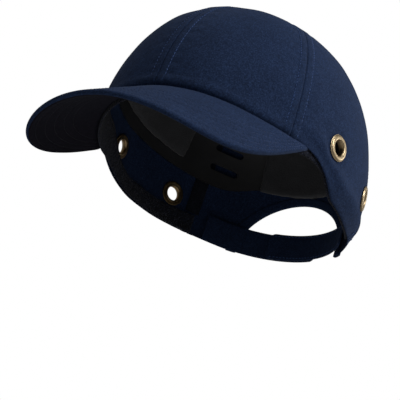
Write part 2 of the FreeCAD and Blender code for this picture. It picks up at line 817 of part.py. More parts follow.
doc.recompute()
for obj in doc.Objects:
    if "Invalid" in obj.State or "Error" in obj.State:
        raise RuntimeError(f"{obj.Label}: {obj.State}")
for obj in nodes:
    if obj.Shape.isNull() or not obj.Shape.isValid() or not obj.Shape.Solids:
        raise RuntimeError(f"{obj.Label}: bad shape")

os.makedirs("parts", exist_ok=True)
for obj in nodes:
    obj.Shape.exportStep(f"parts/{obj.Label}.step")
    box = obj.Shape.BoundBox
    print(f"{obj.Label:26s} solids {len(obj.Shape.Solids)}  {obj.Shape.Volume / 1000:8.2f} cm3  "
          f"x {box.XMin:.1f}..{box.XMax:.1f}  y {box.YMin:.1f}..{box.YMax:.1f}  "
          f"z {box.ZMin:.1f}..{box.ZMax:.1f}")
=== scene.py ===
import math

import bpy
import numpy as np
from mathutils import Matrix, Vector, noise


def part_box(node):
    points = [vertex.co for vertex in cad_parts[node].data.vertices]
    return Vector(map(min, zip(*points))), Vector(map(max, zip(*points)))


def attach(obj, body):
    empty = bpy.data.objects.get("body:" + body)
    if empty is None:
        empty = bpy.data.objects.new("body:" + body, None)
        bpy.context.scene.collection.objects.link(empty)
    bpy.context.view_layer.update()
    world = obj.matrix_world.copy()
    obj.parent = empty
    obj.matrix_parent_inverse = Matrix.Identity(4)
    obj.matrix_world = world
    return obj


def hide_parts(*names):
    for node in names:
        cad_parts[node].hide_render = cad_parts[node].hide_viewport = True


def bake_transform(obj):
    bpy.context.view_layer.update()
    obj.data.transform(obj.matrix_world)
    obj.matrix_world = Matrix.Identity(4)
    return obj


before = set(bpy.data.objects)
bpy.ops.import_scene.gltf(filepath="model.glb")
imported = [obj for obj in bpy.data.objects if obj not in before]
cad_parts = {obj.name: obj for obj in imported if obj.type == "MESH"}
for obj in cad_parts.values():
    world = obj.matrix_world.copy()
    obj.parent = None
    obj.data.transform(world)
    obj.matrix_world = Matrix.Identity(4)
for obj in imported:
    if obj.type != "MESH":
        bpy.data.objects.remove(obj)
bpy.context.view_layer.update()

# The crown, brim and seams follow the CAD part's own dimensions, in millimetres and degrees.
# Angles round the crown are counted from +X, the wearer's left: -90 is the front, 90 the back.
HALF_WIDTH, HALF_FRONT, HALF_REAR = 97.0, 114.2, 117.6
CROWN_HEIGHT, WALL_HEIGHT, CROWN_POWER = 131.2, 22.0, 0.757
FABRIC = 1.3
CROWN_EYE = 6.0
TUCK_HEIGHT, TUCK_DEPTH = 10.0, 3.1
RIM_SIDE = -4.0
BRIM_END, RIM_LOW_START, RIM_LOW_END, RIM_REAR = -22.0, 5.0, 18.0, 50.0
BRIM_ROOT = np.array([0.0, -112.6, 18.0])
BRIM_TILT = math.radians(34.7)
BRIM_RADIUS, BRIM_HALF = 110.0, math.radians(55.0)
BRIM_LENGTH, BRIM_WIDTH, BRIM_HEEL = 73.8, 105.3, 60.0
BRIM_SQUARE_SIDE, BRIM_SQUARE_TIP = 0.796, 0.47
BRIM_THICK = 2.0                    # half the finished brim's thickness
BRIM_TUCK = 2.2                     # how far the brim runs in under the crown's hem
SEAM_FRONT, SEAM_REAR = -30.8, 38.5
ARCH_RADIUS, ARCH_SPRING = 46.0, 4.0
EYELETS = {"front": (-7.3, 28.1), "rear": (27.2, 24.7)}
EYELET_BORE, EYELET_FLANGE = 5.7, 9.8
SIDES = ("left", "right")
STATION_LENGTH = 1.87               # millimetres of cloth per degree up the dome
FORWARD = np.array([0.0, -math.cos(BRIM_TILT), -math.sin(BRIM_TILT)])
BRIM_UP = np.array([0.0, -math.sin(BRIM_TILT), math.cos(BRIM_TILT)])

BODY = "cap"


# ------------------------------------------------------------------ crown surface

def ease(share):
    share = np.clip(share, 0.0, 1.0)
    return share * share * (3.0 - 2.0 * share)


def folded(theta):
    turn = np.radians(theta)
    return np.degrees(np.arctan2(np.sin(turn), np.abs(np.cos(turn))))


def crown(theta, station, depth=0.0):
    """Points on the crown. A negative station is mm below the wall's top, a positive one degrees up."""
    theta, station, depth = np.broadcast_arrays(np.asarray(theta, float), station, depth)
    turn = np.radians(theta)
    across = HALF_WIDTH * np.cos(turn)
    along = np.where(np.sin(turn) < 0, HALF_FRONT, HALF_REAR) * np.sin(turn)
    climb = np.radians(np.maximum(station, 0.0))
    height = WALL_HEIGHT + (CROWN_HEIGHT - depth - WALL_HEIGHT) * np.sin(climb)
    height = height + np.minimum(station, 0.0)
    fade = 1.0 - ease((folded(theta) - 30.0) / 30.0)
    drop = np.maximum(TUCK_HEIGHT - height, 0.0) / TUCK_HEIGHT
    reach = np.cos(climb) ** CROWN_POWER * (1.0 - TUCK_DEPTH / HALF_WIDTH * drop * drop * fade)
    reach = reach * (1.0 - depth / np.hypot(across, along))
    return np.stack([across * reach, along * reach, height], -1)


def crown_normal(theta, station):
    step = 0.4
    across = crown(theta + step, station) - crown(theta - step, station)
    upward = crown(theta, station + step) - crown(theta, station - step)
    return unit(np.cross(across, upward))


def unit(v):
    return v / np.maximum(np.linalg.norm(v, axis=-1, keepdims=True), 1e-9)


def station_at_height(height):
    above = np.asarray(height, float) - WALL_HEIGHT
    share = np.clip(above / (CROWN_HEIGHT - WALL_HEIGHT), 0.0, 0.9999)
    return np.where(above < 0, above, np.degrees(np.arcsin(share)))


def station_at_reach(reach):
    return math.degrees(math.acos((reach / HALF_WIDTH) ** (1.0 / CROWN_POWER)))


def cloth_length(station):
    """Millimetres along the crown, counted from the top of the wall."""
    return np.where(np.asarray(station) < 0, station, np.asarray(station) * STATION_LENGTH)


def station_at_length(length):
    return np.where(np.asarray(length) < 0, length, np.asarray(length) / STATION_LENGTH)


# ------------------------------------------------------------------ brim surface

def brim(arc, reach, lift=0.0):
    """Point on the brim: arc along the arch, reach forward of the root, lift above the middle."""
    arc, reach, lift = np.broadcast_arrays(np.asarray(arc, float), reach, lift)
    angle = np.minimum(np.abs(arc) / BRIM_RADIUS, BRIM_HALF)
    flank = np.maximum(np.abs(arc) - BRIM_RADIUS * BRIM_HALF, 0.0)
    sign = np.sign(arc)
    across = BRIM_RADIUS * np.sin(angle) + flank * np.cos(BRIM_HALF) + lift * np.sin(angle)
    down = BRIM_RADIUS * (1 - np.cos(angle)) + flank * np.sin(BRIM_HALF) - lift * np.cos(angle)
    side = np.stack([sign * across, np.zeros_like(across), np.zeros_like(across)], -1)
    return BRIM_ROOT + reach[..., None] * FORWARD + side - down[..., None] * BRIM_UP


def height_over_brim(point):
    across = np.abs(point[..., 0])
    above = (point - BRIM_ROOT) @ BRIM_UP
    arch = np.hypot(across, above + BRIM_RADIUS) - BRIM_RADIUS
    beyond = across - BRIM_RADIUS * math.sin(BRIM_HALF)
    flank = beyond * math.sin(BRIM_HALF)
    flank = flank + (above + BRIM_RADIUS * (1 - math.cos(BRIM_HALF))) * math.cos(BRIM_HALF)
    return np.where(beyond < 0, arch, flank)


def brim_root_height(theta):
    """Height where the brim's middle meets the crown, by bisection."""
    low = np.full(np.shape(theta), -20.0)
    high = np.full(np.shape(theta), 35.0)
    for _ in range(30):
        middle = (low + high) / 2
        over = height_over_brim(crown(theta, station_at_height(middle))) > 0
        high = np.where(over, middle, high)
        low = np.where(over, low, middle)
    return low


def brim_root(theta):
    """Arc and reach of the brim's root at an angle round the crown."""
    point = crown(theta, station_at_height(brim_root_height(theta)))
    reach = (point - BRIM_ROOT) @ FORWARD
    across = np.abs(point[..., 0])
    arch = BRIM_RADIUS * np.arcsin(np.clip(across / BRIM_RADIUS, 0, 1))
    spring = BRIM_RADIUS * math.sin(BRIM_HALF)
    flank = BRIM_RADIUS * BRIM_HALF + (across - spring) / math.cos(BRIM_HALF)
    return np.sign(point[..., 0]) * np.where(across < spring, arch, flank), reach


def brim_edge(turn):
    """Arc and reach of the brim's outline, turn from -90 to 90 degrees."""
    turn = np.radians(turn)
    share = np.sign(turn) * np.abs(np.sin(turn)) ** BRIM_SQUARE_SIDE
    forward = np.maximum(np.cos(turn), 0.0) ** BRIM_SQUARE_TIP
    return BRIM_WIDTH * share, (BRIM_LENGTH + BRIM_HEEL) * forward - BRIM_HEEL


def brim_end_turn():
    """Where the outline runs into the crown."""
    for turn in np.arange(60.0, 90.0, 0.05):
        point = brim(*brim_edge(turn))
        station = station_at_height(point[2])
        theta = math.degrees(math.atan2(point[1] / HALF_FRONT, point[0] / HALF_WIDTH))
        wall = crown(theta, station)
        if np.hypot(*point[:2]) < np.hypot(*wall[:2]) + 0.2:
            return turn, theta
    return 89.0, BRIM_END


BRIM_LAST_TURN, BRIM_LAST_ANGLE = brim_end_turn()


def brim_column(share):
    """Root and edge of the brim column at share, from -1 on the wearer's right to 1 on the left."""
    root_arc, root_reach = brim_root(-90.0 + share * (BRIM_LAST_ANGLE + 90.0))
    edge_arc, edge_reach = brim_edge(share * BRIM_LAST_TURN)
    tucked = 1.0 - BRIM_TUCK / HALF_WIDTH
    return root_arc * tucked, root_reach - BRIM_TUCK * np.sqrt(1.0 - share ** 2), edge_arc, edge_reach


def rim_height(theta):
    """Lower edge of the cloth."""
    angle = folded(theta)
    over = BRIM_THICK + 0.3
    on_brim = brim_root_height(np.minimum(angle, BRIM_END)) + over
    end = brim_root_height(np.array(BRIM_END)) + over
    dip = end + (RIM_SIDE - end) * ease((angle - BRIM_END) / (RIM_LOW_START - BRIM_END))
    rise = RIM_SIDE * (1.0 - ease((angle - RIM_LOW_END) / (RIM_REAR - RIM_LOW_END)))
    return np.where(angle < BRIM_END, on_brim, np.where(angle < RIM_LOW_START, dip, rise))


# ------------------------------------------------------------------ meshes

def write_uvs(mesh, uvs):
    """UV layer from one flat position in mm per vertex, 100 mm to a UV unit."""
    layer = mesh.uv_layers.new(name="cloth")
    loops = np.zeros(len(mesh.loops), dtype=np.int32)
    mesh.loops.foreach_get("vertex_index", loops)
    layer.data.foreach_set("uv", (np.asarray(uvs)[loops] * 0.01).ravel())


def make_piece(name, vertices, faces, material, body=BODY, uvs=None, smooth=True):
    """Mesh object in metres from millimetre vertices, riding on a body."""
    mesh = bpy.data.meshes.new(name)
    mesh.from_pydata((np.asarray(vertices) * 0.001).tolist(), [], faces)
    mesh.update()
    if uvs is not None:
        write_uvs(mesh, uvs)
    mesh.polygons.foreach_set("use_smooth", [smooth] * len(mesh.polygons))
    mesh.materials.append(material)
    piece = bpy.data.objects.new(name, mesh)
    bpy.context.scene.collection.objects.link(piece)
    if body:
        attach(piece, body)
    return piece


def grid_faces(rows, columns, closed_rows=False, closed_columns=False):
    """Quads of a grid whose vertex i, j has the index i * columns + j."""
    faces = []
    for i in range(rows if closed_rows else rows - 1):
        for j in range(columns if closed_columns else columns - 1):
            a, b = i * columns + j, i * columns + (j + 1) % columns
            c, d = (i + 1) % rows * columns + (j + 1) % columns, (i + 1) % rows * columns + j
            faces.append((a, b, c, d))
    return faces


def swept_faces(rings, sides):
    """Faces of a closed section swept along a path, with a cap at each end."""
    last = (rings - 1) * sides
    caps = [tuple(reversed(range(sides))), tuple(last + i for i in range(sides))]
    return grid_faces(rings, sides, False, True) + caps


def flipped(faces):
    return [face[::-1] for face in faces]


def thick_sheet(name, outer, inner, faces, material, body=BODY, uvs=None):
    """Closed solid between two matching vertex sets: both sheets and a wall round every open edge."""
    count = len(outer)
    borders = {}
    for face in faces:
        for a, b in zip(face, face[1:] + face[:1]):
            if (b, a) in borders:
                del borders[(b, a)]
            else:
                borders[(a, b)] = True
    solid = list(faces)
    solid += [tuple(i + count for i in reversed(face)) for face in faces]
    solid += [(b, a, a + count, b + count) for a, b in borders]
    both = None if uvs is None else np.concatenate([uvs, uvs])
    return make_piece(name, np.concatenate([outer, inner]), solid, material, body, both)


def lathe(name, profile, material, seat, body=BODY, segments=48):
    """Closed profile of (radius, height) turned about the local Z axis of a 4x4 seat in mm."""
    turns = np.linspace(0, 2 * math.pi, segments, endpoint=False)
    radius, height = np.asarray(profile, float).T
    local = np.stack([
        radius[:, None] * np.cos(turns),
        radius[:, None] * np.sin(turns),
        np.repeat(height[:, None], segments, 1),
        np.ones((len(radius), segments)),
    ], -1).reshape(-1, 4)
    world = (local @ seat.T)[:, :3]
    return make_piece(name, world, grid_faces(len(radius), segments, True, True), material, body)


def ripple(points, scale, seed):
    """Smooth noise between about -1 and 1 at millimetre points."""
    shift = Vector((seed * 17.3, seed * -5.1, seed * 9.7))
    flat = np.asarray(points).reshape(-1, 3) / scale
    values = [noise.noise(Vector(p) + shift) for p in flat]
    return np.array(values).reshape(np.shape(points)[:-1])


# ------------------------------------------------------------------ materials

def shader(name, metallic=0.0, roughness=0.6):
    """New material with its node tree and Principled shader."""
    material = bpy.data.materials.new(name)
    material.use_nodes = True
    tree = material.node_tree
    principled = tree.nodes["Principled BSDF"]
    principled.inputs["Metallic"].default_value = metallic
    principled.inputs["Roughness"].default_value = roughness
    return material, tree, principled


def add(tree, kind, **inputs):
    """New node with its inputs set, or linked where a value is a socket."""
    node = tree.nodes.new(kind)
    for key, value in inputs.items():
        socket = node.inputs[key.replace("_", " ")] if not key.startswith("i") else node.inputs[int(key[1:])]
        if isinstance(value, bpy.types.NodeSocket):
            tree.links.new(value, socket)
        else:
            socket.default_value = value
    return node


def ramp(tree, factor, stops):
    node = add(tree, "ShaderNodeValToRGB", Fac=factor)
    elements = node.color_ramp.elements
    while len(elements) < len(stops):
        elements.new(0.5)
    for element, (position, color) in zip(elements, stops):
        element.position = position
        element.color = (*color, 1.0)
    return node.outputs["Color"]


def multiply(tree, amount, under, over):
    """Colour of a layer multiplied over another."""
    node = add(tree, "ShaderNodeMix", i0=amount, i6=under, i7=over)
    node.data_type = "RGBA"
    node.blend_type = "MULTIPLY"
    return node.outputs[2]


def bump(tree, height, strength, distance, **under):
    """Normal bent by a height, over another normal if one is given."""
    return add(tree, "ShaderNodeBump", Height=height, Strength=strength, Distance=distance,
               **under).outputs["Normal"]


def dress(tree, principled, color, normal):
    """Links a material's colour and its normal."""
    tree.links.new(color, principled.inputs["Base Color"])
    tree.links.new(normal, principled.inputs["Normal"])


def object_position(tree):
    return add(tree, "ShaderNodeTexCoord").outputs["Object"]


def shaded(color, factor):
    return tuple(min(c * factor, 1.0) for c in color)


def cloth_material(name, color, pitch=0.75, weave_depth=0.22, sheen=0.08, fuzz=0.5, woven=True):
    """Twill: ribs across the cloth's own millimetres, mottled dye, specks and flecks."""
    material, tree, principled = shader(name, roughness=0.95)
    principled.inputs["Sheen Weight"].default_value = sheen
    principled.inputs["Sheen Roughness"].default_value = 0.45
    principled.inputs["Sheen Tint"].default_value = (0.45, 0.6, 1.0, 1.0)
    principled.inputs["Specular IOR Level"].default_value = 0.12
    position = object_position(tree)
    grain = add(tree, "ShaderNodeTexNoise", Vector=position, Scale=950.0, Detail=3.0, Roughness=0.7)
    blotch = add(tree, "ShaderNodeTexNoise", Vector=position, Scale=38.0, Detail=4.0, Roughness=0.6)
    slub = add(tree, "ShaderNodeTexNoise", Vector=position, Scale=330.0, Detail=2.0)
    if woven:
        uv = add(tree, "ShaderNodeUVMap")
        uv.uv_map = "cloth"
        millimetres = add(tree, "ShaderNodeMapping", Vector=uv.outputs["UV"], Scale=(100.0, 100.0, 1.0),
                          Rotation=(0.0, 0.0, math.radians(28.0))).outputs["Vector"]
    else:
        millimetres = add(tree, "ShaderNodeMapping", Vector=position, Scale=(1000.0,) * 3,
                          Rotation=(0.3, 0.5, 0.6)).outputs["Vector"]
    ribs = add(tree, "ShaderNodeTexWave", Vector=millimetres, Scale=0.314 / pitch, Distortion=0.6,
               Detail=1.0, Detail_Scale=1.5)
    cross = add(tree, "ShaderNodeTexWave", Vector=millimetres, Scale=0.314 / (pitch * 0.8), Distortion=1.0)
    cross.bands_direction = "Y"
    dye = ramp(tree, blotch.outputs["Fac"], [(0.3, shaded(color, 0.92)), (0.72, shaded(color, 1.1))])
    specks = ramp(tree, grain.outputs["Fac"], [(0.3, (0.42,) * 3), (0.5, (0.95,) * 3), (0.7, (1.85,) * 3)])
    fleck = ramp(tree, slub.outputs["Fac"], [(0.34, (0.86,) * 3), (0.5, (0.98,) * 3), (0.66, (1.16,) * 3)])
    lines = ramp(tree, ribs.outputs["Fac"], [(0.1, (0.82,) * 3), (0.8, (1.1,) * 3)])
    mixed = dye
    for layer, amount in ((specks, 0.9), (fleck, 0.6), (lines, 0.6)):
        mixed = multiply(tree, amount, mixed, layer)
    ribbed = bump(tree, ribs.outputs["Fac"], weave_depth, 0.0003)
    crossed = bump(tree, cross.outputs["Fac"], weave_depth * 0.6, 0.0002, Normal=ribbed)
    slubbed = bump(tree, slub.outputs["Fac"], fuzz, 0.0005, Normal=crossed)
    dress(tree, principled, mixed, slubbed)
    return material


def thread_material(name, color):
    """Twisted polyester thread: slightly glossy with a fine twist."""
    material, tree, principled = shader(name, roughness=0.55)
    principled.inputs["Specular IOR Level"].default_value = 0.3
    position = object_position(tree)
    tint = add(tree, "ShaderNodeTexNoise", Vector=position, Scale=260.0, Detail=2.0)
    twist = add(tree, "ShaderNodeTexWave", Vector=position, Scale=520.0, Distortion=1.0)
    dyed = ramp(tree, tint.outputs["Fac"], [(0.3, shaded(color, 0.75)), (0.7, shaded(color, 1.25))])
    dress(tree, principled, dyed, bump(tree, twist.outputs["Fac"], 0.4, 0.0001))
    return material


def terry_material(name, color, scale=620.0, depth=0.0012):
    """Looped towelling, also used for the loop tape."""
    material, tree, principled = shader(name, roughness=0.95)
    principled.inputs["Sheen Weight"].default_value = 0.1
    principled.inputs["Specular IOR Level"].default_value = 0.15
    position = object_position(tree)
    loops = add(tree, "ShaderNodeTexVoronoi", Vector=position, Scale=scale)
    clumps = add(tree, "ShaderNodeTexNoise", Vector=position, Scale=110.0, Detail=4.0)
    tint = ramp(tree, loops.outputs["Distance"], [(0.0, shaded(color, 1.5)), (0.7, shaded(color, 0.5))])
    cast = ramp(tree, clumps.outputs["Fac"], [(0.3, (0.75,) * 3), (0.7, (1.2,) * 3)])
    looped = bump(tree, loops.outputs["Distance"], 0.8, depth)
    clumped = bump(tree, clumps.outputs["Fac"], 0.5, 0.002, Normal=looped)
    dress(tree, principled, multiply(tree, 0.8, tint, cast), clumped)
    return material


def plastic_material(name, color, roughness=0.5):
    """Moulded plastic: fine spark texture, flow marks and scuffs in the roughness."""
    material, tree, principled = shader(name, roughness=roughness)
    position = object_position(tree)
    spark = add(tree, "ShaderNodeTexNoise", Vector=position, Scale=900.0, Detail=2.0)
    flow = add(tree, "ShaderNodeTexNoise", Vector=position, Scale=24.0, Detail=5.0, Distortion=0.8)
    tint = ramp(tree, flow.outputs["Fac"], [(0.3, shaded(color, 0.85)), (0.7, shaded(color, 1.2))])
    rough = add(tree, "ShaderNodeMapRange", Value=flow.outputs["Fac"], To_Min=roughness - 0.12,
                To_Max=roughness + 0.15)
    tree.links.new(rough.outputs["Result"], principled.inputs["Roughness"])
    dress(tree, principled, tint, bump(tree, spark.outputs["Fac"], 0.35, 0.0002))
    return material


def foam_material(name, color):
    """Closed-cell foam: fine pores, darkened inside as painted shade, and a soft face with dust-like
    mottling.
    """
    material, tree, principled = shader(name, roughness=0.85)
    principled.inputs["Sheen Weight"].default_value = 0.2
    position = object_position(tree)
    pores = add(tree, "ShaderNodeTexVoronoi", Vector=position, Scale=900.0)
    cloud = add(tree, "ShaderNodeTexNoise", Vector=position, Scale=60.0, Detail=4.0)
    # Painted shade: each pore is darker towards its bottom.
    tint = ramp(tree, pores.outputs["Distance"], [(0.0, shaded(color, 0.55)), (0.35, color)])
    cast = ramp(tree, cloud.outputs["Fac"], [(0.3, (0.8,) * 3), (0.7, (1.2,) * 3)])
    painted_pore_shade_and_dust = multiply(tree, 0.9, tint, cast)
    dress(tree, principled, painted_pore_shade_and_dust, bump(tree, pores.outputs["Distance"], 0.6, 0.0004))
    return material


def brass_material(name):
    """Antique brass: dark in the hollows, rubbed bright on the crests, lightly pitted."""
    material, tree, principled = shader(name, metallic=1.0, roughness=0.35)
    position = object_position(tree)
    tarnish = add(tree, "ShaderNodeTexNoise", Vector=position, Scale=160.0, Detail=6.0, Roughness=0.65)
    pits = add(tree, "ShaderNodeTexNoise", Vector=position, Scale=1400.0, Detail=2.0)
    crest = add(tree, "ShaderNodeNewGeometry").outputs["Pointiness"]
    worn = ramp(tree, crest, [(0.46, (0.0,) * 3), (0.54, (1.0,) * 3)])
    aged = ramp(tree, tarnish.outputs["Fac"], [(0.3, (0.22, 0.14, 0.07)), (0.7, (0.52, 0.37, 0.19))])
    mixed = add(tree, "ShaderNodeMix", i0=worn, i6=aged, i7=(0.86, 0.72, 0.48, 1.0))
    mixed.data_type = "RGBA"
    rough = add(tree, "ShaderNodeMapRange", Value=tarnish.outputs["Fac"], To_Min=0.22, To_Max=0.5)
    tree.links.new(rough.outputs["Result"], principled.inputs["Roughness"])
    dress(tree, principled, mixed.outputs[2], bump(tree, pits.outputs["Fac"], 0.25, 0.0001))
    return material


def hook_material(name, color):
    """Hook tape: rows of tiny stiff hooks."""
    material, tree, principled = shader(name, roughness=0.45)
    position = object_position(tree)
    hooks = add(tree, "ShaderNodeTexVoronoi", Vector=position, Scale=1100.0, Randomness=0.25)
    # Painted highlight: each hook's raised tip is painted up to three times lighter.
    tint = ramp(tree, hooks.outputs["Distance"], [(0.05, shaded(color, 3.0)), (0.4, color)])
    dress(tree, principled, tint, bump(tree, hooks.outputs["Distance"], 1.0, -0.001))
    return material


NAVY = (0.0155, 0.030, 0.076)
# Painted shade: the brim's underside is the navy twill painted far darker, with a purplish cast of painted
# bounce light.
NAVY_PAINTED_SHADE = (0.009, 0.007, 0.012)
MATERIALS = {
    "navy": cloth_material("navy_twill", NAVY),
    # Painted light: the brim's top cloth is the crown's twill made 5% lighter, as if lit from above.
    "brim": cloth_material("navy_twill_brim", shaded(NAVY, 1.05)),
    "underside": cloth_material("twill_underside_painted_shade", NAVY_PAINTED_SHADE, sheen=0.04),
    "tape": cloth_material("woven_seam_tape", (0.012, 0.014, 0.022), pitch=1.1, weave_depth=0.4),
    "strap": cloth_material("navy_strap_webbing", shaded(NAVY, 0.9), pitch=1.2, weave_depth=0.5),
    "thread": thread_material("navy_thread", (0.04, 0.088, 0.25)),
    "brim_thread": thread_material("brim_thread", (0.022, 0.048, 0.135)),
    # Dark thread for the sweatband's row, also used under the brim as a painted-shade copy of the brim's
    # thread.
    "dark_thread": thread_material("dark_thread", (0.011, 0.012, 0.022)),
    "terry": terry_material("dark_towelling", (0.016, 0.019, 0.034)),
    "loops": terry_material("loop_tape_pile", (0.013, 0.014, 0.02), scale=900.0, depth=0.0008),
    "hooks": hook_material("hook_tape_hooks", (0.01, 0.011, 0.015)),
    "shell": plastic_material("black_moulded_shell", (0.018, 0.018, 0.020)),
    "board": plastic_material("brim_board_plastic", (0.05, 0.05, 0.055), roughness=0.6),
    "foam": foam_material("charcoal_foam", (0.035, 0.036, 0.04)),
    "brass": brass_material("antique_brass"),
    "steel": plastic_material("plated_steel", (0.4, 0.4, 0.4), roughness=0.35),
}


# ------------------------------------------------------------------ stitches

STITCH_PITCH = 3.0
STITCH_LENGTH = 2.3
STITCH_RADIUS = 0.27
STITCH_RISE, STITCH_SINK = 0.26, 0.16     # how far a thread arches out, and how deep its ends sit
STITCH_SLANT = 0.12


def stitch_row(path, normals, first=0.0):
    """Vertices and faces of the stitches along a polyline, each a small arched thread."""
    steps = np.linalg.norm(np.diff(path, axis=0), axis=1)
    length = np.concatenate([[0], np.cumsum(steps)])
    count = int((length[-1] - first) // STITCH_PITCH)
    rings, sides = 6, 6
    along = np.linspace(-0.5, 0.5, rings) * STITCH_LENGTH
    bow = 1.0 - (2.0 * along / STITCH_LENGTH) ** 2
    vertices, faces = [], []
    for k in range(count):
        middle = first + (k + 0.5) * STITCH_PITCH
        centre = np.array([np.interp(middle + along, length, path[:, i]) for i in range(3)]).T
        up = unit(np.array([np.interp(middle, length, normals[:, i]) for i in range(3)]))
        tangent = unit(centre[-1] - centre[0])
        sideways = np.cross(tangent, up)
        base = len(vertices) * rings * sides
        angles = np.linspace(0, 2 * math.pi, sides, endpoint=False)
        radius = STITCH_RADIUS * np.sqrt(np.maximum(bow, 0.12))
        rise = STITCH_RISE * bow - STITCH_SINK
        slant = STITCH_SLANT * along / STITCH_LENGTH
        spine = centre + up * rise[:, None] + sideways * slant[:, None]
        ring = (np.cos(angles)[:, None] * sideways + np.sin(angles)[:, None] * up)
        block = spine[:, None, :] + radius[:, None, None] * ring[None]
        vertices.append(block.reshape(-1, 3))
        faces += [tuple(i + base for i in f) for f in swept_faces(rings, sides)]
    return (np.concatenate(vertices) if vertices else np.zeros((0, 3))), faces


def stitches(name, rows, material="thread", body=BODY):
    """One piece for several rows of stitches, given as (path, normals)."""
    vertices, faces, base = [], [], 0
    for index, (path, normals) in enumerate(rows):
        row_vertices, row_faces = stitch_row(np.asarray(path), np.asarray(normals), 0.4 + 0.37 * (index % 5))
        vertices.append(row_vertices)
        faces += [tuple(i + base for i in f) for f in row_faces]
        base += len(row_vertices)
    return make_piece(name, np.concatenate(vertices), faces, MATERIALS[material], body)


# ------------------------------------------------------------------ crown panels

PANELS = {
    "front_panel": (-90.0, SEAM_FRONT),
    "side_panel": (SEAM_FRONT, SEAM_REAR),
    "rear_panel": (SEAM_REAR, 90.0),
}
STITCH_OFFSET = 5.9       # topstitch row to seam
WELT = 0.5                # how far the doubled cloth beside a seam stands proud


def on_side(side, theta):
    return theta if side == "left" else 180.0 - theta


def seam_relief(distance, along):
    """Height of the cloth at a distance from a seam: groove, welt, stitched dip and puckers."""
    groove = -0.75 * np.exp(-(distance / 0.55) ** 2)
    welt = WELT * (1.0 - ease((distance - 5.0) / 1.9))
    held = 0.7 + 0.3 * np.cos(2 * math.pi * along / STITCH_PITCH)
    dip = -0.26 * held * np.exp(-((distance - STITCH_OFFSET) / 0.75) ** 2)
    wave = np.sin(2 * math.pi * along / 10.5 + 1.7 * np.sin(along / 23.0))
    pucker = 0.2 * wave * np.exp(-((distance - 9.5) / 4.5) ** 2)
    return groove + welt + dip + pucker


def cloth_relief(points, from_first, to_last, along, above_rim, theta):
    """Height of a panel's cloth over the crown's smooth face."""
    width = from_first + to_last
    nearest = np.minimum(from_first, to_last)
    crown_share = ease(width / 60.0)
    belly = 0.35 * crown_share * np.sin(math.pi * np.clip(from_first / width, 0, 1)) ** 1.2
    relief = seam_relief(nearest, along) + belly
    calm = ease((nearest - 5.0) / 12.0)
    relief = relief + calm * (0.75 * ripple(points, 42.0, 1) + 0.28 * ripple(points, 17.0, 2))
    angle = folded(theta)
    beside = ease((angle + 34.0) / 16.0) * (1.0 - ease((angle - 45.0) / 20.0))
    relief = relief + 1.3 * beside * np.exp(-((above_rim - 12.5) / 5.5) ** 2)
    relief = relief - 0.8 * beside * np.exp(-((above_rim - 3.0) / 4.0) ** 2)
    on_brim = 1.0 - ease((angle + 32.0) / 10.0)
    roll = 0.8 * np.exp(-((above_rim - 5.5) / 3.4) ** 2)
    crease = np.exp(-(above_rim / 1.7) ** 2)
    relief = relief + on_brim * (roll - crease)
    hem = np.clip(1.0 - above_rim / 2.4, 0.0, 1.0)
    return relief - 0.7 * hem ** 2


def eyelet_seat(side, position):
    """Seat of an eyelet as a 4x4 in mm: its origin on the cloth's face, Z outward."""
    theta, height = EYELETS[position]
    theta = on_side(side, theta)
    station = station_at_height(height)
    point = crown(theta, station)
    outward = crown_normal(theta, station)
    outward = outward * np.sign(outward @ (point * [1, 1, 0]))
    level = unit(np.cross([0, 0, 1.0], outward))
    seat = np.eye(4)
    seat[:3, 0], seat[:3, 1], seat[:3, 2], seat[:3, 3] = level, np.cross(outward, level), outward, point
    return seat


EYELET_SEATS = {(s, p): eyelet_seat(s, p) for s in SIDES for p in EYELETS}


def near_eyelets(points):
    """Distance to the nearest eyelet's centre."""
    centres = np.array([seat[:3, 3] for seat in EYELET_SEATS.values()])
    return np.linalg.norm(points[..., None, :] - centres, axis=-1).min(-1)


def seam_spacing(width):
    """Distances from a panel's seam, close together near it, and the width left between."""
    near = np.array([0, 0.3, 0.65, 1.1, 1.8, 2.8, 3.9, 4.8, 5.3, 5.7, 6.1, 6.5, 7.0, 7.9, 9.2, 11.2, 13.8])
    near = near * min(1.0, width / 2.0 / 15.0)
    return near, width - 2 * near[-1]


def panel_grid(side, first, last):
    """Angles and stations of a panel's grid, with distances to both seams, all rows by columns."""
    theta_fine = np.linspace(first, last, 260)
    high = cloth_length(station_at_reach(CROWN_EYE))
    middle_count = 34
    rim = cloth_length(station_at_height(rim_height(theta_fine)))
    heights = np.concatenate([[0, 0.5, 1.0, 1.5, 2.0, 2.6, 3.4], np.linspace(4.6, 185.0, 136)]) / 185.0
    angles, stations, firsts, lasts, alongs, rims = [], [], [], [], [], []
    for share in heights:
        length = rim + (high - rim) * share
        line = crown(theta_fine, station_at_length(length))
        arc = np.concatenate([[0], np.cumsum(np.linalg.norm(np.diff(line, axis=0), axis=1))])
        near, inside = seam_spacing(arc[-1])
        middle = near[-1] + inside * np.linspace(0, 1, middle_count + 2)[1:-1]
        across = np.concatenate([near, middle, (arc[-1] - near)[::-1]])
        theta = np.interp(across, arc, theta_fine)
        along = np.interp(theta, theta_fine, length)
        angles.append(theta)
        alongs.append(along)
        stations.append(station_at_length(along))
        firsts.append(across)
        lasts.append(arc[-1] - across)
        rims.append(along - np.interp(theta, theta_fine, rim))
    theta = on_side(side, np.array(angles))
    return theta, *(np.array(a) for a in (stations, firsts, lasts, alongs, rims))


def outside_arch(points):
    """False inside the rear opening."""
    high = np.hypot(points[..., 0], np.maximum(points[..., 2] - ARCH_SPRING, 0.0)) > ARCH_RADIUS
    return high | (points[..., 1] < 60.0)


